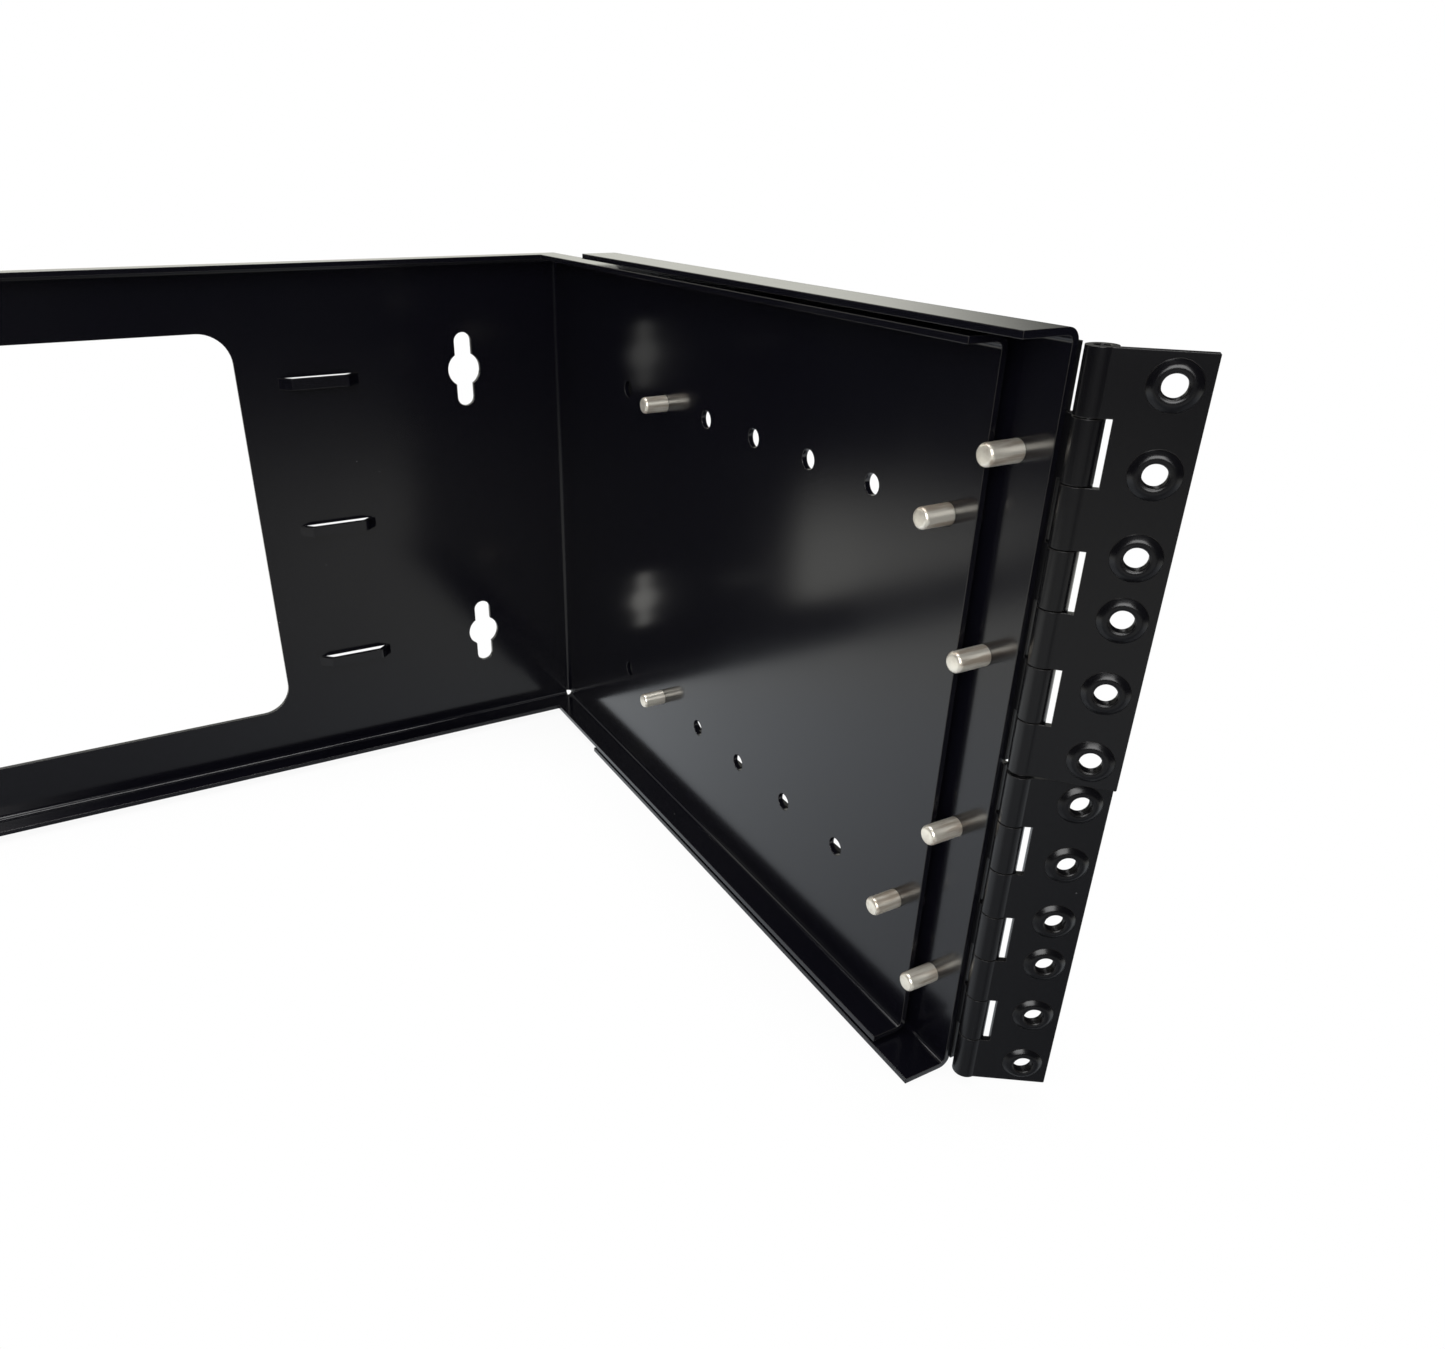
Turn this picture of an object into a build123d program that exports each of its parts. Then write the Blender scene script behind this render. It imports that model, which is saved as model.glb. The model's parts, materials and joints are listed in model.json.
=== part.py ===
from build123d import *
import math
import os

# Four-unit wall bracket for rack equipment with a hinged mounting edge on its right.
# Millimetres. Origin: centre of the back plate's wall face. Right is plus X,
# the wall is plus Y (the bracket reaches forward along minus Y), up is plus Z.

# Rack grid
UNIT_H = 44.45                      # height of one rack unit
RACK_WIDTH = 465.1                  # between the two columns of rack screws
RACK_HOLE_R = 2.45                  # rack screw hole

# Sheet
T = 1.5                             # sheet thickness
RB = 1.5                            # inside bend radius
CUT = 1.0                           # how far a cutter runs past a face

# Wall frame
FLANGE = 8.8                        # flange reach past the inner face
FLANGE_GAP = 1.1                    # wing's flange to the panel's flange over it
WING_SHORT = 4.1                    # wing's front edge behind the hinge studs
MITRE_GAP = 1.2                     # open slit where two flanges meet
WINDOW_SIDE = 113.4                 # wing to window
WINDOW_RIM = 20.5                   # plate above and below the window
WINDOW_R = 10.0                     # window corner radius
KEY_SIDE = 36.3                     # wing to keyholes, which are 406.4 apart
KEY_Z = 50.8                        # keyhole height either side of the middle
KEY_R = 5.9                         # keyhole's round middle
KEY_SLOT_R = 3.1                    # keyhole's slot, half width
KEY_LENGTH = 25.4                   # keyhole from end to end
LANCE_SIDE = 87.2                   # wing to the middle of a cable-tie bridge
LANCE_PITCH = 50.8                  # spacing of the bridges
LANCE_LENGTH = 22.0                 # opening under the bridge
LANCE_SLOPE = 2.2                   # run of a sloping end
LANCE_HEIGHT = 3.6                  # strip height
LANCE_LIFT = 2.1                    # gap between plate and bridge
LANCE_RB = 1.2                      # bend of the bridge

# Side hole rows
HOLE_FIRST = 60.0                   # first hole, from the wall
HOLE_PITCH = 25.4                   # along the depth
HOLE_EDGE = 8.0                     # nearest that a hole comes to the wing's front edge
HOLE_Z = 50.8                       # height of each row either side of the middle
HOLE_R = 2.6                        # clearance hole

# Extension panels
PANEL_GAP = 2.25                    # wing to panel
PANEL_REAR = 45.5                   # rear edge, from the wall
PANEL_FRONT = 234.2                 # front edge, from the wall
PANEL_MARGIN = 2.2                  # panel past the two hinges, above and below
LIP_RELIEF = 1.2                    # left rack flange, clear of the bends above and below
SLOT_R = 4.75                       # long slot behind a hole row, half height
SLOT_FROM_STUD = 15.1               # stud to the slot's end

# Studs
STUD_R = 2.45                       # outside of the thread
STUD_CHAMFER = 0.6                  # at the tip
STUD_PANEL = 11.4                   # reach past the panel's inner face
STUD_HINGE = 8.7                    # the same for the hinge studs
STUD_BACK = 9.1                     # hinge studs behind the panel's front edge
STUD_HEAD_R = 4.6
STUD_HEAD_T = 1.0
HEAD_CHAMFER = 0.3
STUD_SHOULDER_R = 4.6               # spacer between panel and wing

# Hinges
BARREL_R = 3.0                      # rolled knuckle, outside
PIN_CLEARANCE = 0.05                # in the turning knuckles
AXIS_AHEAD = 4.7                    # hinge axis ahead of the panel's front edge
HINGE_GAP = 0.9                     # between one hinge and the next
KNUCKLES = 7                        # knuckles in one hinge
KNUCKLE_GAP = 0.3                   # between knuckles
SEAM = 0.25                         # slit where a knuckle's roll comes back to its leaf
LEAF_HOLE = 12.95                   # screw hole to hinge axis
LEAF_EDGE = 6.15                    # leaf past its screw holes
LEAF_FACE = 2.5                     # free leaf's rear face, from the axis
LEAF_CORNER = 0.2                   # chamfer of a leaf's corners
PIN_SHORT = 0.4                     # pin's ends, inside the hinge's
PIN_CHAMFER = 0.3
NOTCH = 4.1                         # leaf cut back from the axis beside the other leaf's knuckles
TOP_NOTCH = 5.1                     # the same beside the highest knuckle
COLLAR_R = 4.7                      # raised collar round a rack screw hole, at its foot
COLLAR_TOP_R = 3.6
COLLAR_H = 0.8
UPPER_ANGLE = 49.0                  # leaf from plus X towards the front
LOWER_ANGLE = 34.0

# Across: everything is set out from the rack screws
RACK_HOLE_X = RACK_WIDTH / 2
AXIS_X = RACK_HOLE_X + LEAF_HOLE            # leaf closed, its holes are on the screw column
LEAF_X = AXIS_X - T / 2                     # fixed leaf's inner face, its middle on the axis
PANEL_X = LEAF_X - T                        # panel's inner face
WING_X = PANEL_X - PANEL_GAP - T            # wing's inner face
KEY_X = WING_X - KEY_SIDE
LANCE_X = WING_X - LANCE_SIDE
WINDOW_X = WING_X - WINDOW_SIDE             # window's half width

# Up: everything is set out from the two hinges
HINGE_L = UNIT_H * 2 - HINGE_GAP            # height of one hinge
HINGE_Z = (UNIT_H, -UNIT_H)                 # middle of each hinge
SCREW_STEP = UNIT_H * 5 / 14                # the rack grid: steps of five, five and four fourteenths
SCREW_NEAR = UNIT_H * 2 / 14                # nearest screws either side of a hinge's middle
SCREWS = [SCREW_NEAR + k * SCREW_STEP for k in range(3)]
PANEL_H = UNIT_H * 2 + PANEL_MARGIN         # panel's half height
FRAME_H = PANEL_H - T - FLANGE_GAP          # wall frame's half height
WINDOW_Z = FRAME_H - WINDOW_RIM             # window's half height

# Forward: hinges, then studs, then the wing's edge
AXIS_Y = PANEL_FRONT + AXIS_AHEAD
HINGE_STUD_Y = PANEL_FRONT - STUD_BACK
WING_Y = HINGE_STUD_Y - WING_SHORT
FRONT_FACE = AXIS_Y - LEAF_FACE + T         # where a rack ear rests, leaf closed
HOLE_COUNT = int((WING_Y - HOLE_EDGE - HOLE_FIRST) / HOLE_PITCH) + 1
STUD_AT = (1, HOLE_COUNT - 1)               # which holes hold a stud

# Hinge sizes
PIN_R = BARREL_R - T                        # pin and knuckle bore
LEAF_W = LEAF_HOLE + LEAF_EDGE              # free leaf's edge to hinge axis


def block(x0, x1, y0, y1, z0, z1):
    """Box between two corners."""
    size = (x1 - x0, y1 - y0, z1 - z0)
    return Pos((x0 + x1) / 2, (y0 + y1) / 2, (z0 + z1) / 2) * Box(*size)


def prism(points, z0, z1):
    """Upright prism over a closed outline in X and Y."""
    face = make_face(Polyline(*points, close=True))
    return Pos(0, 0, z0) * extrude(face, z1 - z0, dir=(0, 0, 1))


def rod(r, start, length, toward):
    """Round bar from a point along a direction."""
    plane = Plane(origin=start, z_dir=toward)
    return extrude(plane * Circle(r), length)


def channel(half_height, reach, length):
    """Sheet bent to a C: web on x from 0 to T, flanges towards minus X, run along minus Y."""
    web = block(0, T, -length, 0, -half_height, half_height)
    top = block(-reach, T, -length, 0, half_height - T, half_height)
    low = block(-reach, T, -length, 0, -half_height, T - half_height)
    shape = web + top + low
    outside = shape.edges().filter_by(Axis.Y).group_by(Axis.X)[-1]
    shape = fillet(outside, RB + T)
    inside = [e for e in shape.edges().filter_by(Axis.Y)
              if abs(e.center().X) < 0.01 and abs(abs(e.center().Z) - half_height + T) < 0.01]
    return fillet(inside, RB)


def keyhole(x, z):
    """Round middle with a slot above and below, through the back plate."""
    end = KEY_LENGTH / 2 - KEY_SLOT_R
    middle = rod(KEY_R, (x, CUT, z), T + CUT * 2, (0, -1, 0))
    slot = block(x - KEY_SLOT_R, x + KEY_SLOT_R, -T - CUT, CUT, z - end, z + end)
    for s in (-1, 1):
        slot += rod(KEY_SLOT_R, (x, CUT, z + s * end), T + CUT * 2, (0, -1, 0))
    return middle + slot


def lance_outline(grow):
    """Bridge's plan: a raised strip with sloping ends. Grow moves it out by the sheet."""
    half = LANCE_LENGTH / 2
    top = half - LANCE_SLOPE
    y = -T - LANCE_LIFT - grow
    # A sloping end keeps the sheet's thickness if it moves out by less than the strip does.
    slope = math.atan2(LANCE_LIFT, LANCE_SLOPE)
    side = grow / math.sin(slope)
    rise = grow * math.tan(slope / 2)
    return [(-half - side, 0), (-half - side, -T), (-top - rise, y),
            (top + rise, y), (half + side, -T), (half + side, 0)]


def lance(x, z):
    """Returns the hole a bridge leaves in the plate and the bridge itself."""
    half = LANCE_LENGTH / 2
    z0, z1 = z - LANCE_HEIGHT / 2, z + LANCE_HEIGHT / 2
    hole = block(-half, half, -T - CUT, CUT, z0, z1)
    strip = prism(lance_outline(T), z0, z1) - prism(lance_outline(0), z0 - CUT, z1 + CUT)
    bends = [e for e in strip.edges().filter_by(Axis.Z) if e.center().Y < -T - LANCE_LIFT / 2]
    strip = fillet(bends, LANCE_RB)
    return Pos(x, 0, 0) * hole, Pos(x, 0, 0) * strip


def wall_frame():
    """Back plate with both wings, folded from one sheet."""
    back_half = WING_X - RB
    back = Pos(-back_half, 0, 0) * Rot(0, 0, 90) * channel(FRAME_H, FLANGE, back_half * 2)
    back = Pos(0, -T, 0) * back
    wing = Pos(WING_X, -T - RB, 0) * channel(FRAME_H, FLANGE, WING_Y - T - RB)
    # Flanges meet at a mitred slit.
    top = FRAME_H - T - RB
    far = FLANGE * 3
    half = MITRE_GAP / 2 * math.sqrt(2)
    corner = (WING_X, -T)
    for z0, z1 in ((top, FRAME_H + CUT), (-FRAME_H - CUT, -top)):
        right = prism([(corner[0] + far, corner[1] + far - half), (corner[0] - far, corner[1] - far - half),
                       (corner[0] + far * 2, corner[1] - far - half)], z0, z1)
        left = prism([(corner[0] + far, corner[1] + far + half), (corner[0] - far, corner[1] - far + half),
                      (corner[0] - far * 2, corner[1] + far + half)], z0, z1)
        back = back - right - mirror(right, Plane.YZ)
        wing = wing - left
    ring = Cylinder(RB + T, top * 2) - Cylinder(RB, FRAME_H * 2)
    bend = Pos(WING_X - RB, -T - RB, 0) * (ring & block(0, RB + T, 0, RB + T, -top, top))
    for k in range(HOLE_COUNT):
        for z in (-HOLE_Z, HOLE_Z):
            wing -= rod(HOLE_R, (WING_X - CUT, -HOLE_FIRST - k * HOLE_PITCH, z), T + CUT * 2, (1, 0, 0))
    side = wing + bend
    frame = back + side + mirror(side, Plane.YZ)
    window = block(-WINDOW_X, WINDOW_X, -T - CUT, CUT, -WINDOW_Z, WINDOW_Z)
    window = fillet(window.edges().filter_by(Axis.Y), WINDOW_R)
    frame -= window
    for x in (-KEY_X, KEY_X):
        for z in (-KEY_Z, KEY_Z):
            frame -= keyhole(x, z)
    for x in (-LANCE_X, LANCE_X):
        for z in (-LANCE_PITCH, 0, LANCE_PITCH):
            hole, strip = lance(x, z)
            frame = frame - hole + strip
    return frame


def panel_slot(y0, y1, z):
    """Round-ended slot through the panel, from y0 forward to y1."""
    ends = (y0 - SLOT_R, y1 + SLOT_R)
    slot = block(PANEL_X - CUT, PANEL_X + T + CUT, ends[1], ends[0], z - SLOT_R, z + SLOT_R)
    for y in ends:
        slot += rod(SLOT_R, (PANEL_X - CUT, y, z), T + CUT * 2, (1, 0, 0))
    return slot


def side_panel():
    """Extension panel of the right side, before its front edge is finished."""
    panel = Pos(PANEL_X, -PANEL_REAR, 0) * channel(PANEL_H, FLANGE + PANEL_GAP + T, PANEL_FRONT - PANEL_REAR)
    rear, front = (-HOLE_FIRST - k * HOLE_PITCH for k in STUD_AT)
    for z in (-HOLE_Z, HOLE_Z):
        for y in (rear, front):
            panel -= rod(STUD_R, (PANEL_X - CUT, y, z), T + CUT * 2, (1, 0, 0))
        panel -= panel_slot(rear - SLOT_FROM_STUD, front + SLOT_FROM_STUD, z)
    return panel


def hinge_stud_heights():
    """Heights of the four studs that hold the fixed leaves."""
    return [c + s * SCREWS[1] for c in HINGE_Z for s in (1, -1)]


def right_extension():
    panel = side_panel()
    for z in hinge_stud_heights():
        panel -= rod(STUD_R, (PANEL_X - CUT, -HINGE_STUD_Y, z), T + CUT * 2, (1, 0, 0))
    return panel


def rack_heights():
    """Heights of the twelve rack screw holes."""
    return [c + s * h for c in HINGE_Z for h in SCREWS for s in (1, -1)]


def left_extension():
    """Extension panel of the left side, with a fixed rack flange at the front."""
    panel = mirror(side_panel(), Plane.YZ)
    top = PANEL_H - T - RB - LIP_RELIEF
    x0 = -PANEL_X - T
    x1 = -AXIS_X + LEAF_W
    outer = block(x0, x1, -FRONT_FACE, -PANEL_FRONT, -top, top)
    inner = block(-PANEL_X, x1 + CUT, -FRONT_FACE + T, 0, -top - CUT, top + CUT)
    lip = fillet(outer.edges().filter_by(Axis.Z).group_by(Axis.X)[0].group_by(Axis.Y)[0], RB + T)
    lip = lip - fillet(inner.edges().filter_by(Axis.Z).group_by(Axis.X)[0].group_by(Axis.Y)[0], RB)
    panel = panel + lip
    for z in rack_heights():
        panel -= rod(RACK_HOLE_R, (-RACK_HOLE_X, CUT - FRONT_FACE + T, z), T + CUT * 2, (0, -1, 0))
    return panel


def collar(s, z):
    """Raised collar on the free leaf's rear face, axis towards minus Y."""
    foot = Plane(origin=(s, -LEAF_FACE, z), z_dir=(0, -1, 0))
    tip = Plane(origin=(s, -LEAF_FACE - COLLAR_H, z), z_dir=(0, -1, 0))
    return loft([foot * Circle(COLLAR_R), tip * Circle(COLLAR_TOP_R)])


def hinge_leaf(width, face, own, bore_r):
    """Leaf at zero degrees: axis on Z, sheet along plus X with one face at y = -face.

    Own lists the knuckles that belong to this leaf, counted from the top.
    """
    pitch = HINGE_L / KNUCKLES
    back = T - face
    leaf = block(NOTCH, width, -face, back, -HINGE_L / 2, HINGE_L / 2)
    leaf = chamfer(leaf.edges().filter_by(Axis.Y), LEAF_CORNER)
    seam = block(0, BARREL_R + CUT, back, back + SEAM, -HINGE_L, HINGE_L)
    bore = Cylinder(bore_r, HINGE_L * 2)
    for k in own:
        z1 = HINGE_L / 2 - k * pitch - (KNUCKLE_GAP / 2 if k else 0)
        z0 = HINGE_L / 2 - (k + 1) * pitch + (KNUCKLE_GAP / 2 if k < KNUCKLES - 1 else 0)
        roll = Pos(0, 0, (z0 + z1) / 2) * Cylinder(BARREL_R, z1 - z0)
        strip = block(0, NOTCH + CUT, -face, back, z0, z1)
        leaf = leaf + (roll - seam - bore) + (strip - bore)
    return leaf


def free_leaf(z, angle):
    leaf = hinge_leaf(LEAF_W, LEAF_FACE, (0, 2, 4, 6), PIN_R + PIN_CLEARANCE)
    for h in SCREWS:
        for s in (1, -1):
            leaf += collar(LEAF_HOLE, s * h)
            start = (LEAF_HOLE, T - LEAF_FACE + CUT, s * h)
            leaf -= rod(RACK_HOLE_R, start, T + COLLAR_H + CUT * 2, (0, -1, 0))
    return Pos(AXIS_X, -AXIS_Y, z) * Rot(0, 0, -angle) * leaf


def fixed_leaf(z):
    stud_x = AXIS_Y - HINGE_STUD_Y
    leaf = hinge_leaf(stud_x + LEAF_EDGE, T / 2, (1, 3, 5), PIN_R)
    if z == max(HINGE_Z):
        knuckle_end = HINGE_L / 2 - HINGE_L / KNUCKLES
        leaf -= block(0, TOP_NOTCH, -T, T, knuckle_end, HINGE_L)
    for s in (1, -1):
        leaf -= rod(STUD_R, (stud_x, T, s * SCREWS[1]), T * 2, (0, -1, 0))
    return Pos(AXIS_X, -AXIS_Y, z) * Rot(0, 0, 90) * leaf


def hinge_pin(z):
    pin = Cylinder(PIN_R, HINGE_L - PIN_SHORT * 2)
    pin = chamfer(pin.edges().filter_by(GeomType.CIRCLE), PIN_CHAMFER)
    return Pos(AXIS_X, -AXIS_Y, z) * pin


def stud(y, z, face_x, reach, shoulder):
    """Stud of the right side. Its head sits on the plane x = face_x and it points inwards."""
    tip = PANEL_X - reach
    shaft = rod(STUD_R, (face_x, y, z), face_x - tip, (-1, 0, 0))
    shaft = chamfer(shaft.edges().group_by(Axis.X)[0], STUD_CHAMFER)
    head = rod(STUD_HEAD_R, (face_x, y, z), STUD_HEAD_T, (1, 0, 0))
    head = chamfer(head.edges().group_by(Axis.X)[-1], HEAD_CHAMFER)
    body = shaft + head
    if shoulder:
        body += rod(STUD_SHOULDER_R, (PANEL_X, y, z), PANEL_GAP, (-1, 0, 0))
    return body


os.makedirs("parts", exist_ok=True)


def save(name, shape):
    export_step(shape, "parts/" + name + ".step")


save("wall_frame", wall_frame())
save("right_extension", right_extension())
save("left_extension", left_extension())

for name, z, angle in (("upper", HINGE_Z[0], UPPER_ANGLE), ("lower", HINGE_Z[1], LOWER_ANGLE)):
    save(name + "_hinge_fixed_leaf", fixed_leaf(z))
    save(name + "_hinge_free_leaf", free_leaf(z, angle))
    save(name + "_hinge_pin", hinge_pin(z))

for k, place in zip(STUD_AT, ("rear", "front")):
    for z, level in ((HOLE_Z, "upper"), (-HOLE_Z, "lower")):
        right = stud(-HOLE_FIRST - k * HOLE_PITCH, z, PANEL_X + T, STUD_PANEL, True)
        save("right_stud_" + place + "_" + level, right)
        save("left_stud_" + place + "_" + level, mirror(right, Plane.YZ))

for number, z in enumerate(hinge_stud_heights(), 1):
    save("hinge_stud_" + str(number), stud(-HINGE_STUD_Y, z, LEAF_X + T, STUD_HINGE, False))
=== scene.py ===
# %% [markdown]
# # Wall mount open frame rack
#
# A bracket that holds rack equipment off a wall: a windowed back plate, two side wings,
# an extension panel outside each wing, and two hinges that carry the screw holes on the right.
# The imported model holds every folded sheet at its real size. This script gives it paint,
# bright studs, pressed collars, a floor, light and a camera.
#
# We load the imported model first and note its box, which sets the height of the floor.

# %% Load the fixed frame
import json
import math

import bmesh
import bpy
from mathutils import Matrix, Vector


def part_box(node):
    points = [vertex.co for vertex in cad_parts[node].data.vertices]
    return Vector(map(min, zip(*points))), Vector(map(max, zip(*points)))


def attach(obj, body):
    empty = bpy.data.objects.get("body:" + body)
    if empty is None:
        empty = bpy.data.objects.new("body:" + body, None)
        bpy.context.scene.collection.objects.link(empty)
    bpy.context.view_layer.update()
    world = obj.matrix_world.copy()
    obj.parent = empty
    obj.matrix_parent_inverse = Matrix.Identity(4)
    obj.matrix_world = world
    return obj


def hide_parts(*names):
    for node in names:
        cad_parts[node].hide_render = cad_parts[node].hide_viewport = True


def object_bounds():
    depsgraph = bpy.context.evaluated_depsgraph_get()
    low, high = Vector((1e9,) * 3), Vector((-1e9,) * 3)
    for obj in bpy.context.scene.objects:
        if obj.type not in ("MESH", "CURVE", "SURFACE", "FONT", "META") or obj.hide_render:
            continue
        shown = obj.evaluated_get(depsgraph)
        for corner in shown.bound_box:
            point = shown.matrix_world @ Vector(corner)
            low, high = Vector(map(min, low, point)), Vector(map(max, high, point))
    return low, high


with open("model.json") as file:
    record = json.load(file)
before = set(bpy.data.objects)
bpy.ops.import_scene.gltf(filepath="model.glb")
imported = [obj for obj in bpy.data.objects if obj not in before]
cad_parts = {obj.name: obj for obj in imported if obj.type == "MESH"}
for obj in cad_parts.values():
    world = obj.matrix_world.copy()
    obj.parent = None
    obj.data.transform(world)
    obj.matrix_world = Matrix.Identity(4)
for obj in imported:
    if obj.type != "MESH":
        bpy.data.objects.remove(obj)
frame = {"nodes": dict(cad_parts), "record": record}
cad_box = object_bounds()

MM = 0.001
record = frame["record"]

# %% [markdown]
# ## Camera
#
# The picture is taken with a wide lens from close in front of the bracket, above its top edge and
# to the right of its middle, so the left half falls outside the frame. We place the camera by its
# position, its three angles, its lens and a small shift, all worked out from the corners and
# holes that can be seen, because near objects show every error in the viewpoint.

# %% Set up the camera
CAMERA_AT = Vector((84.60, -373.67, 116.91)) * MM
CAMERA_TURN = (63.108, -0.284, -27.585)         # degrees round X, Y and Z

lens = bpy.data.cameras.new("camera")
lens.sensor_fit = "HORIZONTAL"
lens.sensor_width = 36
lens.lens = 26.005
lens.shift_x = 0.0478
lens.shift_y = 0.0123
lens.clip_start = 0.01
camera = bpy.data.objects.new("camera", lens)
camera.location = CAMERA_AT
camera.rotation_euler = [math.radians(a) for a in CAMERA_TURN]
bpy.context.scene.collection.objects.link(camera)
bpy.context.scene.camera = camera
bpy.context.scene.view_settings.view_transform = "Standard"
print("camera", [round(v, 4) for v in camera.location])

# %% [markdown]
# ## Node helpers
#
# A material is a graph of small nodes. These helpers add a node, set its plain values and join
# its inputs in one line, so each material below reads as a list of what it does.

# %% Helpers for node graphs
def add_node(tree, kind, values=None, links=None, **settings):
    """Adds a node, sets its properties, plain input values and input links."""
    node = tree.nodes.new(kind)
    for key, value in settings.items():
        setattr(node, key, value)
    for key, value in (values or {}).items():
        node.inputs[key].default_value = value
    for key, socket in (links or {}).items():
        tree.links.new(socket, node.inputs[key])
    return node


def add_math(tree, operation, a, b=None):
    """Adds a Math node. Each input is a number or another node's output."""
    node = add_node(tree, "ShaderNodeMath", operation=operation)
    for k, value in enumerate((a, b)):
        if isinstance(value, (int, float)):
            node.inputs[k].default_value = value
        elif value is not None:
            tree.links.new(value, node.inputs[k])
    return node.outputs[0]


def add_ramp(tree, value, low, high, out_low=0.0, out_high=1.0):
    """Maps a value smoothly from one range to another."""
    limits = {"From Min": low, "From Max": high, "To Min": out_low, "To Max": out_high}
    node = add_node(tree, "ShaderNodeMapRange", limits, {"Value": value},
                    interpolation_type="SMOOTHSTEP")
    return node.outputs["Result"]


def add_mix(tree, factor, a, b):
    """Mixes two colours by a factor."""
    node = add_node(tree, "ShaderNodeMix", data_type="RGBA", links={0: factor})
    for key, value in ((6, a), (7, b)):
        if isinstance(value, tuple):
            node.inputs[key].default_value = (*value, 1.0)
        else:
            tree.links.new(value, node.inputs[key])
    return node.outputs[2]


def mix_shaders(tree, factor, a, b):
    """Shows shader a where the factor is 0 and shader b where it is 1."""
    ends = {0: factor, 1: a.outputs[0], 2: b.outputs[0]}
    return add_node(tree, "ShaderNodeMixShader", links=ends)


def new_group(name, inputs, outputs):
    """Starts a shader node group. Inputs are (name, default), outputs are (name, kind)."""
    tree = bpy.data.node_groups.new(name, "ShaderNodeTree")
    for label, default in inputs:
        socket = tree.interface.new_socket(label, in_out="INPUT", socket_type="NodeSocketFloat")
        socket.default_value = default
    for label, kind in outputs:
        tree.interface.new_socket(label, in_out="OUTPUT", socket_type=kind)
    start = tree.nodes.new("NodeGroupInput")
    end = tree.nodes.new("NodeGroupOutput")
    return tree, start.outputs, end.inputs


def place_group(tree, group, values):
    """Puts a group in a material with its own values."""
    return add_node(tree, "ShaderNodeGroup", node_tree=group, values=values).outputs


def new_material(name):
    """Returns a material, its node tree and its Principled shader."""
    material = bpy.data.materials.new(name)
    material.use_nodes = True
    tree = material.node_tree
    shader = next(n for n in tree.nodes if n.type == "BSDF_PRINCIPLED")
    return material, tree, shader


print("helpers ready")

# %% [markdown]
# ## Floor
#
# The bracket stands on white paper that fades into a white background. The paper is white for the
# camera, with a soft shadow where something stands close to it. What the paint mirrors is left to
# the world below, which is brighter on one side than on the other, so mirrored rays pass through
# the paper. Light Path tells the kinds of ray apart.

# %% Lay the floor
FLOOR_GAP = 0.2 * MM
FLOOR_RADIUS = 6.0
SHADOW_REACH = 0.06
SHADOW_LEVEL = 0.93             # of white, where something touches the paper
PAPER_TONE = (0.80, 0.80, 0.80, 1.0)

FLOOR_Z = cad_box[0][2] - FLOOR_GAP
bm = bmesh.new()
bmesh.ops.create_circle(bm, cap_ends=True, segments=96, radius=FLOOR_RADIUS)
bmesh.ops.translate(bm, vec=(0, 0, FLOOR_Z), verts=bm.verts)
mesh = bpy.data.meshes.new("floor")
bm.to_mesh(mesh)
bm.free()
floor = bpy.data.objects.new("floor", mesh)
bpy.context.scene.collection.objects.link(floor)

floor_paper = bpy.data.materials.new("floor_paper")
floor_paper.use_nodes = True
tree = floor_paper.node_tree
tree.nodes.clear()
end = tree.nodes.new("ShaderNodeOutputMaterial")
rays = tree.nodes.new("ShaderNodeLightPath").outputs

near = add_node(tree, "ShaderNodeAmbientOcclusion", {"Distance": SHADOW_REACH}, samples=8)
shade = add_ramp(tree, near.outputs["AO"], 0.0, 0.9, SHADOW_LEVEL, 1.0)
seen = add_node(tree, "ShaderNodeEmission", links={"Color": shade})
mirrored = add_node(tree, "ShaderNodeBsdfTransparent")
paper = add_node(tree, "ShaderNodeBsdfDiffuse", {"Color": PAPER_TONE})

unseen = mix_shaders(tree, rays["Is Glossy Ray"], paper, mirrored)
clear = add_math(tree, "MAXIMUM", rays["Is Camera Ray"], rays["Is Transmission Ray"])
surface = mix_shaders(tree, clear, unseen, seen)
tree.links.new(surface.outputs[0], end.inputs["Surface"])
floor.data.materials.append(floor_paper)
print("floor at", round(FLOOR_Z, 4))

# %% [markdown]
# ## World
#
# Black gloss paint shows what stands round it far more than its own colour, so the world is a
# small picture of a studio, drawn from the direction that a mirrored ray leaves in. Above the
# horizon there is a dark room with a pale backdrop behind, which the top edges catch at a low
# angle. Below it there is white paper, whose edge draws the soft line across the wing. The
# camera itself sees plain white, and rays that only carry soft light see plain grey.

# %% Start the world
world = bpy.data.worlds.new("room")
bpy.context.scene.world = world
world.use_nodes = True
tree = world.node_tree
tree.nodes.clear()
end = tree.nodes.new("ShaderNodeOutputWorld")
rays = tree.nodes.new("ShaderNodeLightPath").outputs
direction = tree.nodes.new("ShaderNodeTexCoord").outputs["Generated"]
to_right, to_wall, upward = add_node(tree, "ShaderNodeSeparateXYZ", links={0: direction}).outputs


def times(a, b):
    """Multiplies two values of the world."""
    return add_math(tree, "MULTIPLY", a, b)


def larger(a, b):
    """Takes the larger of two values of the world."""
    return add_math(tree, "MAXIMUM", a, b)


print("directions ready")

# %% [markdown]
# ### Room and paper
#
# The photograph gives the levels: each flat face shows the paper at another angle. The paper is
# brightest towards the wall and to the right. On the near side it is dimmer, and darkest where
# the camera stands. A light patch low on the wall shows mirrored through the keyholes.

# %% Draw the room
DARK_ROOM = (0.008, 0.009, 0.011)
BACKDROP = (0.95, 0.95, 0.86)
PAPER_NEAR = (0.90, 0.95, 1.0)
PAPER_FAR = (1.0, 1.0, 0.94)
SOFT_LIGHT = (0.75, 0.75, 0.76, 1.0)
WHITE = (1.0, 1.0, 1.0, 1.0)

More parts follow.
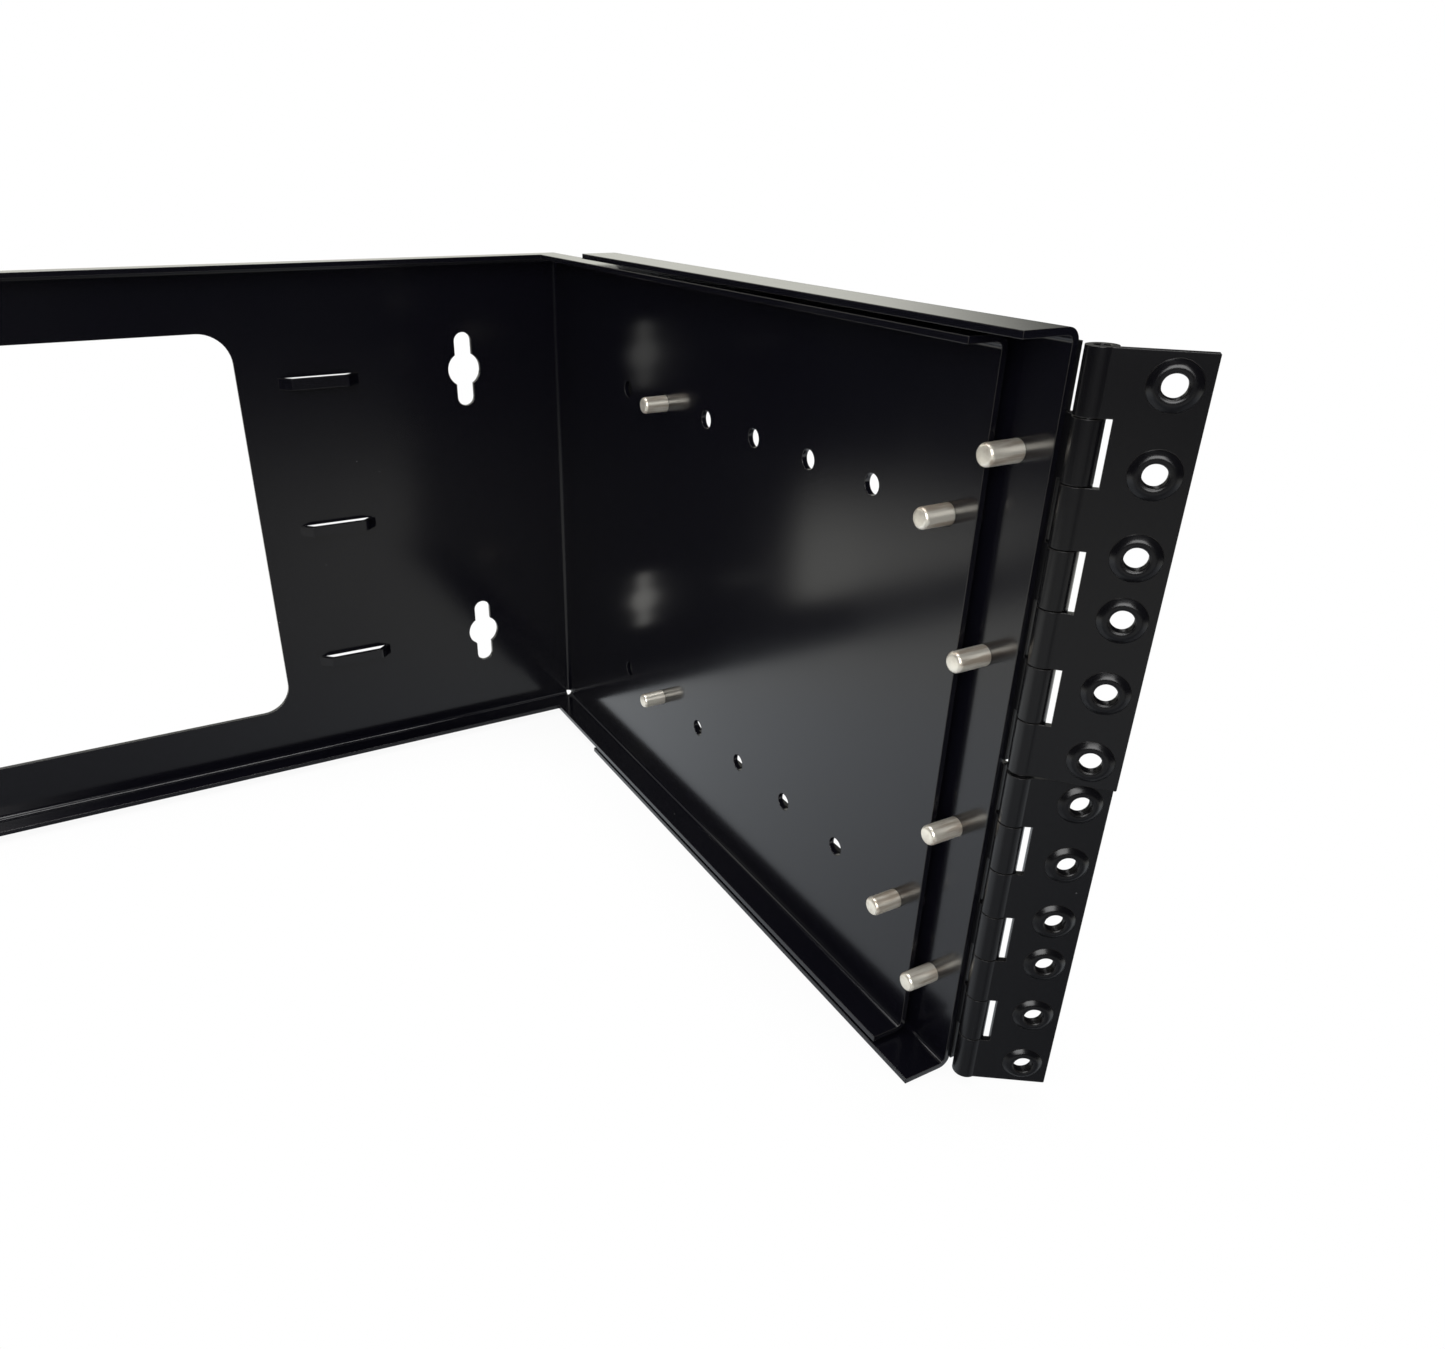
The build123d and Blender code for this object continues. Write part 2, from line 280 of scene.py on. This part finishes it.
# The backdrop stands behind and grows wider with height.
wide = add_math(tree, "ADD", to_wall, times(upward, 0.6))
behind = add_ramp(tree, wide, 0.70, 0.86)
above = times(add_ramp(tree, upward, 0.00, 0.03), add_ramp(tree, upward, 0.35, 0.65, 1.0, 0.0))
backdrop = times(behind, above)

# The paper ends at the edge of the table, a little higher on its bright side.
bright_side = larger(add_ramp(tree, to_wall, -0.20, 0.30), add_ramp(tree, to_right, 0.35, 0.60))
height = add_math(tree, "ADD", upward, times(bright_side, 0.05))
lit = add_ramp(tree, height, -0.27, -0.19, 1.0, 0.0)
steep = add_ramp(tree, upward, -0.68, -0.44, 0.55, 1.0)

# The near side is dimmer, and darkest just left of its middle, where the camera stands.
near_side = add_math(tree, "SUBTRACT", 1.0, bright_side)
near_level = larger(add_ramp(tree, to_right, -0.14, 0.30, 0.20, 0.50),
                    add_ramp(tree, to_right, -0.25, -0.15, 0.45, 0.20))
side_level = add_math(tree, "ADD", bright_side, times(near_side, near_level))
paper_level = times(times(lit, steep), side_level)

# The light patch low behind.
patch = times(add_ramp(tree, to_wall, 0.80, 0.86, 0.0, 0.45),
              add_ramp(tree, upward, -0.06, -0.02, 1.0, 0.0))
paper_level = larger(paper_level, patch)

room_colour = add_mix(tree, backdrop, DARK_ROOM, BACKDROP)
paper_colour = add_mix(tree, add_ramp(tree, upward, -0.48, -0.38), PAPER_NEAR, PAPER_FAR)
room_colour = add_mix(tree, paper_level, room_colour, paper_colour)

soft = add_node(tree, "ShaderNodeBackground", {"Color": SOFT_LIGHT})
room = add_node(tree, "ShaderNodeBackground", links={"Color": room_colour})
white = add_node(tree, "ShaderNodeBackground", {"Color": WHITE})
unseen = mix_shaders(tree, rays["Is Glossy Ray"], soft, room)
clear = larger(rays["Is Camera Ray"], rays["Is Transmission Ray"])
surface = mix_shaders(tree, clear, unseen, white)
tree.links.new(surface.outputs[0], end.inputs["Surface"])
print("world", world.name, "nodes", len(tree.nodes))

# %% [markdown]
# ## Lamps
#
# One large soft lamp overhead lights the studs from above and gives the rims their glints. A
# second one stands low in front on the left. It puts a thin arc of light on the crown of each
# collar, which a higher lamp would spread over the collar's whole slope.

# %% Place the lamps
def add_lamp(name, at, aim, size, watts):
    """Adds a square soft lamp that points at a place."""
    data = bpy.data.lights.new(name, "AREA")
    data.size = size
    data.energy = watts
    lamp = bpy.data.objects.new(name, data)
    lamp.location = at
    lamp.rotation_euler = (Vector(aim) - Vector(at)).to_track_quat("-Z", "Y").to_euler()
    bpy.context.scene.collection.objects.link(lamp)


add_lamp("overhead", at=(0.10, 0.10, 1.10), aim=(0.10, -0.10, 0.0), size=0.70, watts=9.0)
add_lamp("front", at=(-0.35, -0.80, 0.45), aim=(0.15, -0.15, 0.0), size=0.60, watts=6.5)

# %% [markdown]
# ## Skin of the paint
#
# Sprayed paint isn't mirror smooth: it dries with a fine ripple, called orange peel, and a few
# specks of dust settle on it. Both are made once in a group and placed in each painted material
# with its own values. The group gives out a height for the bump and two masks.

# %% Group: sprayed skin
CLOUD_SCALE = 14.0              # slow changes of gloss, in patches per metre
DUST_SCALE = 260.0              # places for a speck, per metre

skin, skin_in, skin_out = new_group(
    "sprayed_skin", [("Ripple Size", 1.3), ("Dust", 0.5)],
    [("Height", "NodeSocketFloat"), ("Tone", "NodeSocketFloat"), ("Speck", "NodeSocketFloat")])
spot = skin.nodes.new("ShaderNodeTexCoord").outputs["Object"]

# Ripple Size is in millimetres.
fineness = add_math(skin, "DIVIDE", 1 / MM, skin_in["Ripple Size"])
ripple = add_node(skin, "ShaderNodeTexNoise", {"Detail": 2.0, "Roughness": 0.45},
                  {"Vector": spot, "Scale": fineness})
skin.links.new(ripple.outputs["Fac"], skin_out["Height"])

cloud = add_node(skin, "ShaderNodeTexNoise", {"Scale": CLOUD_SCALE, "Detail": 3.0},
                 {"Vector": spot})
skin.links.new(add_ramp(skin, cloud.outputs["Fac"], 0.3, 0.7), skin_out["Tone"])

# A speck is the middle of a cell, in the few cells whose random colour is nearly full.
dust = add_node(skin, "ShaderNodeTexVoronoi", {"Scale": DUST_SCALE, "Randomness": 1.0},
                {"Vector": spot})
middle = add_ramp(skin, dust.outputs["Distance"], 0.03, 0.07, 1.0, 0.0)
chance = add_node(skin, "ShaderNodeSeparateColor", links={0: dust.outputs["Color"]}).outputs[0]
few = add_ramp(skin, chance, 0.93, 0.96)
speck = add_math(skin, "MULTIPLY", middle, few)
skin.links.new(add_math(skin, "MULTIPLY", speck, skin_in["Dust"]), skin_out["Speck"])
print("group", skin.name)

# %% [markdown]
# ## Edge of the sheet
#
# Cut sheet has a small rounded edge, and paint runs thin over it, so an edge catches a line of
# light. The Bevel node gives the normal of a rounded edge without changing the mesh. Where it
# differs from the flat normal there is an edge, which makes the mask. The enamel lightens its
# colour along this mask, partly for the thin paint and partly as a painted highlight.

# %% Group: rounded sheet edge
edge, edge_in, edge_out = new_group(
    "sheet_edge", [("Radius", 0.4)], [("Normal", "NodeSocketVector"), ("Edge", "NodeSocketFloat")])
radius = add_math(edge, "MULTIPLY", edge_in["Radius"], MM)
rounded = add_node(edge, "ShaderNodeBevel", links={"Radius": radius}, samples=6).outputs["Normal"]
flat = edge.nodes.new("ShaderNodeNewGeometry").outputs["Normal"]
same = add_node(edge, "ShaderNodeVectorMath", links={0: rounded, 1: flat}, operation="DOT_PRODUCT")
edge.links.new(rounded, edge_out["Normal"])
edge.links.new(add_ramp(edge, same.outputs["Value"], 0.80, 0.99, 1.0, 0.0), edge_out["Edge"])
print("group", edge.name)

# %% [markdown]
# ## Black enamel
#
# Nearly black, a little blue, with a soft gloss: the wing shows the keyholes of the back plate as
# blurred light patches, which sets the roughness. Along the edges it is a shade lighter and duller:
# the paint is thin there, and the lighter colour is also a painted highlight along each edge.

# %% Material: black enamel
RIPPLE_MM = 1.3
RIPPLE_DEPTH = 0.004 * MM
DUST_AMOUNT = 0.6
DUST_COLOUR = (0.10, 0.10, 0.10)
EDGE_DULLING = 0.08             # added to the roughness along an edge


def enamel(name, ior, colour, edge_and_highlight_colour, gloss, edge_mm):
    """Black paint on sheet. Gloss is the roughness of its flat faces."""
    material, tree, shader = new_material(name)
    shader.inputs["IOR"].default_value = ior
    coat = place_group(tree, skin, {"Ripple Size": RIPPLE_MM, "Dust": DUST_AMOUNT})
    rim = place_group(tree, edge, {"Radius": edge_mm})
    # Lighter colour along each edge: partly thin paint, partly a painted highlight.
    thin_paint_and_highlight = add_mix(tree, rim["Edge"], colour, edge_and_highlight_colour)
    dusty = add_mix(tree, coat["Speck"], thin_paint_and_highlight, DUST_COLOUR)
    tree.links.new(dusty, shader.inputs["Base Color"])
    clouded = add_ramp(tree, coat["Tone"], 0.0, 1.0, gloss - 0.015, gloss + 0.02)
    dulled = add_math(tree, "MULTIPLY", rim["Edge"], EDGE_DULLING)
    tree.links.new(add_math(tree, "ADD", clouded, dulled), shader.inputs["Roughness"])
    bump = add_node(tree, "ShaderNodeBump", {"Strength": 1.0, "Distance": RIPPLE_DEPTH},
                    {"Height": coat["Height"], "Normal": rim["Normal"]})
    tree.links.new(bump.outputs[0], shader.inputs["Normal"])
    return material


# Each edge colour is partly thin paint and partly a painted highlight along the edge.
black_enamel = enamel("black_enamel", ior=1.55, colour=(0.0024, 0.0023, 0.0040),
                      edge_and_highlight_colour=(0.024, 0.022, 0.020), gloss=0.16, edge_mm=0.30)
hinge_enamel = enamel("hinge_enamel", ior=1.45, colour=(0.0023, 0.0022, 0.0029),
                      edge_and_highlight_colour=(0.020, 0.018, 0.016), gloss=0.23, edge_mm=0.25)
print("materials", black_enamel.name, hinge_enamel.name)

# %% [markdown]
# ## Grain of the metal
#
# A stud is cut from drawn bar, whose fine streaks run along it, and its cut ends are plainer. A
# hinge pin has fine lines round it. Both come from noise that is squeezed or stretched along one
# axis before it is read: a small number draws it out, a large one packs it close.

# %% Group: grain of drawn metal
STREAK_SCALE = 520.0            # broad streaks per metre, before they are drawn out
MIDDLE_TONE = 0.47              # of the noise, which the even ends keep to

grain, grain_in, grain_out = new_group(
    "plated_grain",
    [("Grain Size", 0.25), ("Along X", 1.0), ("Along Z", 1.0), ("Even Ends", 0.0)],
    [("Height", "NodeSocketFloat"), ("Tone", "NodeSocketFloat")])
place = grain.nodes.new("ShaderNodeTexCoord").outputs
pull = add_node(grain, "ShaderNodeCombineXYZ", {1: 1.0},
                {0: grain_in["Along X"], 2: grain_in["Along Z"]}).outputs[0]
pulled = add_node(grain, "ShaderNodeVectorMath", links={0: place["Object"], 1: pull},
                  operation="MULTIPLY").outputs[0]

# Grain Size is in millimetres.
fineness = add_math(grain, "DIVIDE", 1 / MM, grain_in["Grain Size"])
fine = add_node(grain, "ShaderNodeTexNoise", {"Detail": 2.0}, {"Vector": pulled, "Scale": fineness})
broad = add_node(grain, "ShaderNodeTexNoise", {"Scale": STREAK_SCALE, "Detail": 3.0},
                 {"Vector": pulled})
grain.links.new(fine.outputs["Fac"], grain_out["Height"])

# The ends of a stud face along X.
facing = add_node(grain, "ShaderNodeSeparateXYZ", links={0: place["Normal"]}).outputs[0]
is_end = add_ramp(grain, add_math(grain, "ABSOLUTE", facing), 0.6, 0.9)
evened = add_math(grain, "MULTIPLY", is_end, grain_in["Even Ends"])
kept = add_math(grain, "SUBTRACT", 1.0, evened)
swing = add_math(grain, "SUBTRACT", broad.outputs["Fac"], MIDDLE_TONE)
swing = add_math(grain, "MULTIPLY", swing, kept)
grain.links.new(add_math(grain, "ADD", swing, MIDDLE_TONE), grain_out["Tone"])
print("group", grain.name)

# %% [markdown]
# ## Plated metal
#
# The studs are bright zinc. The plating bath leaves a thin milky film on it, which scatters light
# as well as mirroring it, so it isn't fully metallic. That film is what keeps a shank bright
# where it stands close to a black panel. The hinge pins are plain steel.

# %% Materials: zinc and steel
def plated(name, metal, light, dull, rough, grain_values, depth_mm):
    """Bare or plated metal. Rough is the roughness of its light and of its dull places."""
    material, tree, shader = new_material(name)
    shader.inputs["Metallic"].default_value = metal
    made = place_group(tree, grain, grain_values)
    tone = add_ramp(tree, made["Tone"], 0.44, 0.64)
    tree.links.new(add_mix(tree, tone, light, dull), shader.inputs["Base Color"])
    roughness = add_ramp(tree, made["Tone"], 0.3, 0.7, *rough)
    tree.links.new(roughness, shader.inputs["Roughness"])
    bump = add_node(tree, "ShaderNodeBump", {"Strength": 1.0, "Distance": depth_mm * MM},
                    {"Height": made["Height"]})
    tree.links.new(bump.outputs[0], shader.inputs["Normal"])
    return material


zinc = plated(
    "bright_zinc", metal=0.80, light=(1.0, 0.95, 0.83), dull=(0.60, 0.51, 0.41),
    rough=(0.28, 0.42), depth_mm=0.010,
    grain_values={"Grain Size": 0.22, "Along X": 0.12, "Along Z": 1.0, "Even Ends": 0.7})
pin_steel = plated(
    "pin_steel", metal=1.0, light=(0.42, 0.42, 0.43), dull=(0.30, 0.30, 0.31),
    rough=(0.30, 0.42), depth_mm=0.006,
    grain_values={"Grain Size": 0.18, "Along X": 1.0, "Along Z": 6.0, "Even Ends": 0.0})
print("materials", zinc.name, pin_steel.name)

# %% [markdown]
# ## Dress the folded sheets
#
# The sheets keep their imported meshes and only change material. The hinges are a separate bought
# part with a duller coat than the folded panels.

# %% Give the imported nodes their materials
SLOT_OF = {s["node"]: s["material_slot"] for s in record["subparts"]}
FINISH = {"black_coat": black_enamel, "bright_zinc": zinc, "pin_steel": pin_steel}
for name, obj in frame["nodes"].items():
    finish = FINISH[SLOT_OF[name]]
    if "hinge" in name and finish is black_enamel:
        finish = hinge_enamel
    obj.data.materials.clear()
    obj.data.materials.append(finish)
print("dressed", len(frame["nodes"]))

# %% [markdown]
# ## Making a piece
#
# Each new piece is turned, as on a lathe: a few points give half of its outline, and Spin carries
# them round. It becomes an object at the origin with its place in its mesh, is shaded smooth
# where its faces meet gently, and is tied to the body that carries it.

# %% Helpers for pieces
TURN_STEPS = 40
MERGE_REACH = 0.001 * MM


def lathe(bm, profile, ring=False):
    """Spins a profile of (height, radius) points round X. A ring's profile is a closed loop."""
    verts = [bm.verts.new((h, r, 0.0)) for h, r in profile]
    edges = [bm.edges.new(pair) for pair in zip(verts, verts[1:])]
    if ring:
        edges.append(bm.edges.new((verts[-1], verts[0])))
    bmesh.ops.spin(bm, geom=verts + edges, cent=(0, 0, 0), axis=(1, 0, 0), angle=math.tau,
                   steps=TURN_STEPS, use_merge=True, use_duplicate=False)
    bmesh.ops.remove_doubles(bm, verts=bm.verts, dist=MERGE_REACH)
    bmesh.ops.recalc_face_normals(bm, faces=bm.faces)


def make_piece(name, bm, material, body, smooth_deg):
    """Turns a bmesh into a piece that rides on a body. Sharper corners stay sharp."""
    mesh = bpy.data.meshes.new(name)
    bm.to_mesh(mesh)
    bm.free()
    mesh.shade_smooth()
    mesh.set_sharp_from_angle(angle=math.radians(smooth_deg))
    mesh.materials.append(material)
    piece = bpy.data.objects.new(name, mesh)
    bpy.context.scene.collection.objects.link(piece)
    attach(piece, body)
    return piece


print("piece helpers ready")

# %% [markdown]
# ## Thread
#
# A thread climbs one pitch for each turn. After a bar or a bore is spun with many rings, each of
# its vertices moves towards the axis by a wave of that climb, so the thread is a true helix with
# no seam.

# %% Helpers for threads
THREAD_PITCH = 0.5 * MM
NEARLY = 1.01                   # a vertex counts as on a radius up to here


def thread_wave(along, around):
    """Depth of the thread, from 0 on its crest to 1 in its root."""
    phase = (along / THREAD_PITCH + around / math.tau) % 1.0
    rise = abs(2.0 * phase - 1.0)
    return rise * rise * (3.0 - 2.0 * rise)


def press_thread(vert, radius, depth):
    """Moves one vertex of a bar or bore towards the axis by the thread's wave."""
    depth *= thread_wave(vert.co.x, math.atan2(vert.co.z, vert.co.y))
    scale = 1.0 - depth / radius
    vert.co.y *= scale
    vert.co.z *= scale


print("thread pitch mm", THREAD_PITCH / MM)

# %% [markdown]
# ## Threaded studs
#
# A stud is a bar with a rounded tip, a fine shallow thread and a flat head outside the panel. The
# side studs also have a spacer between panel and wing. The profile runs from the tip to the head,
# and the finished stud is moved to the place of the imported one, which it replaces.

# %% Outline of a stud
STUD_R = 2.45 * MM
STUD_THREAD = 0.025 * MM
RINGS_PER_PITCH = 6
TIP_LENGTH = 1.0 * MM
TIP_IN = 0.85 * MM              # how far the tip's rim lies inside the shank
TIP_POINTS = 6
HEAD_R = 4.6 * MM
HEAD_T = 1.0 * MM
HEAD_BEVEL = 0.3 * MM


def stud_profile(length, spacer):
    """Points of (distance from tip, radius). Spacer is None or its (start, end)."""
    shank_end = spacer[0] if spacer else length - HEAD_T
    shank = shank_end - TIP_LENGTH
    points = [(0, 0)]
    for k in range(TIP_POINTS):
        around = math.radians(15 * k)
        back = TIP_LENGTH * (1 - math.cos(around))
        points.append((back, STUD_R - TIP_IN * (1 - math.sin(around))))
    rings = int(shank / THREAD_PITCH * RINGS_PER_PITCH)
    points += [(TIP_LENGTH + shank * k / rings, STUD_R) for k in range(rings + 1)]
    if spacer:
        start, stop = spacer
        points += [(start, HEAD_R), (stop, HEAD_R), (stop, STUD_R), (length - HEAD_T, STUD_R)]
    points += [(length - HEAD_T, HEAD_R), (length - HEAD_BEVEL, HEAD_R),
               (length, HEAD_R - HEAD_BEVEL), (length, 0)]
    return points, shank_end


print("bare stud of 12 mm, points", len(stud_profile(12 * MM, None)[0]))

# %% [markdown]
# ### Turn the studs
#
# The thread fades in over its first turn, behind the tip, as a real one does where the die first
# bites. The studs of the left panel point the other way, so they are turned round.

# %% Studs
SHEET = 1.5 * MM
PANEL_GAP = 2.25 * MM           # between wing and panel, filled by the spacer


def make_stud(node):
    """Replaces a packed stud by a threaded one in the same place."""
    low, high = (Vector(v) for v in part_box(node))
    length = high.x - low.x
    is_left = low.x < 0
    spacer = None
    if not node.startswith("hinge"):
        stop = length - HEAD_T - SHEET
        spacer = (stop - PANEL_GAP, stop)
    profile, shank_end = stud_profile(length, spacer)
    bm = bmesh.new()
    lathe(bm, profile)
    for vert in bm.verts:
        along = vert.co.x
        on_shank = TIP_LENGTH * 0.99 <= along <= shank_end * 1.001
        if on_shank and vert.co.yz.length < STUD_R * NEARLY:
            fade = max(0.0, min(1.0, (along - TIP_LENGTH) / THREAD_PITCH))
            press_thread(vert, STUD_R, STUD_THREAD * fade)
    turn = Matrix.Rotation(math.pi, 4, "Z") if is_left else Matrix.Identity(4)
    middle = (low + high) / 2
    tip_at = (high.x if is_left else low.x, middle.y, middle.z)
    bmesh.ops.transform(bm, matrix=Matrix.Translation(tip_at) @ turn, verts=bm.verts)
    piece = make_piece("threaded_" + node, bm, zinc, "frame", smooth_deg=50)
    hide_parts(node)
    return piece


studs = [make_stud(node) for node in sorted(frame["nodes"]) if "stud" in node]
print("studs", len(studs), "faces each", len(studs[0].data.polygons))

# %% [markdown]
# ## Collars of the screw holes
#
# Each rack screw hole in a free leaf is drawn through from the front, which raises a smooth lip
# on the back: a soft foot, a round crown and a threaded wall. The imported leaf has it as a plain
# cone. We spin a rounder one over it, whose crown gives the glints above and below each hole. Its
# hidden side runs inside the leaf's metal, so that it is a closed ring.

# %% Collars
HOLE_R = 2.43 * MM
HOLE_THREAD = 0.20 * MM
CONE_MM = 0.8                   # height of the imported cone, which the bore runs through
# Heights over the leaf's face and radii, in millimetres, from the foot to the hole.
LIP = [(0.00, 4.78), (0.04, 4.72), (0.14, 4.60), (0.28, 4.42), (0.46, 4.17), (0.64, 3.92),
       (0.79, 3.66), (0.87, 3.38), (0.89, 3.08), (0.87, 2.80), (0.83, 2.60), (0.76, 2.47)]
WALL_TOP = 0.70
WALL_DEPTH = 2.20
WALL_RINGS = 14
HIDDEN = [(-1.40, 2.60), (-0.10, 4.60)]


def make_collar(mount, number):
    """Spins a pressed collar over one screw hole. The mount gives its place and direction."""
    level = mount["name"].split("_")[0]
    out = -Vector(mount["axis"]).normalized()
    # The mount's place is the middle of the bore. The leaf's face is that much nearer.
    half_bore = mount["dims"]["length_mm"] / 2
    face = Vector(mount["pos_m"]) + out * (half_bore - CONE_MM) * MM
    profile = [(h * MM, r * MM) for h, r in LIP]
    for k in range(WALL_RINGS + 1):
        profile.append(((WALL_TOP - WALL_DEPTH * k / WALL_RINGS) * MM, HOLE_R))
    profile += [(h * MM, r * MM) for h, r in HIDDEN]
    bm = bmesh.new()
    lathe(bm, profile, ring=True)
    for vert in bm.verts:
        if vert.co.yz.length < HOLE_R * NEARLY:
            press_thread(vert, HOLE_R, HOLE_THREAD)
    turn = Vector((1, 0, 0)).rotation_difference(out).to_matrix().to_4x4()
    bmesh.ops.transform(bm, matrix=Matrix.Translation(face) @ turn, verts=bm.verts)
    name = f"{level}_collar_{number}"
    return make_piece(name, bm, hinge_enamel, level + "_leaf", smooth_deg=60)


threaded = [m for m in record["mounts"] if m["kind"] == "threaded_hole"]
collars = [make_collar(mount, number) for number, mount in enumerate(threaded, 1)]
print("collars", len(collars), "faces each", len(collars[0].data.polygons))

# %% [markdown]
# ## Count
#
# We print how many new pieces were made.

# %% Finish
print("pieces made", len(studs) + len(collars))
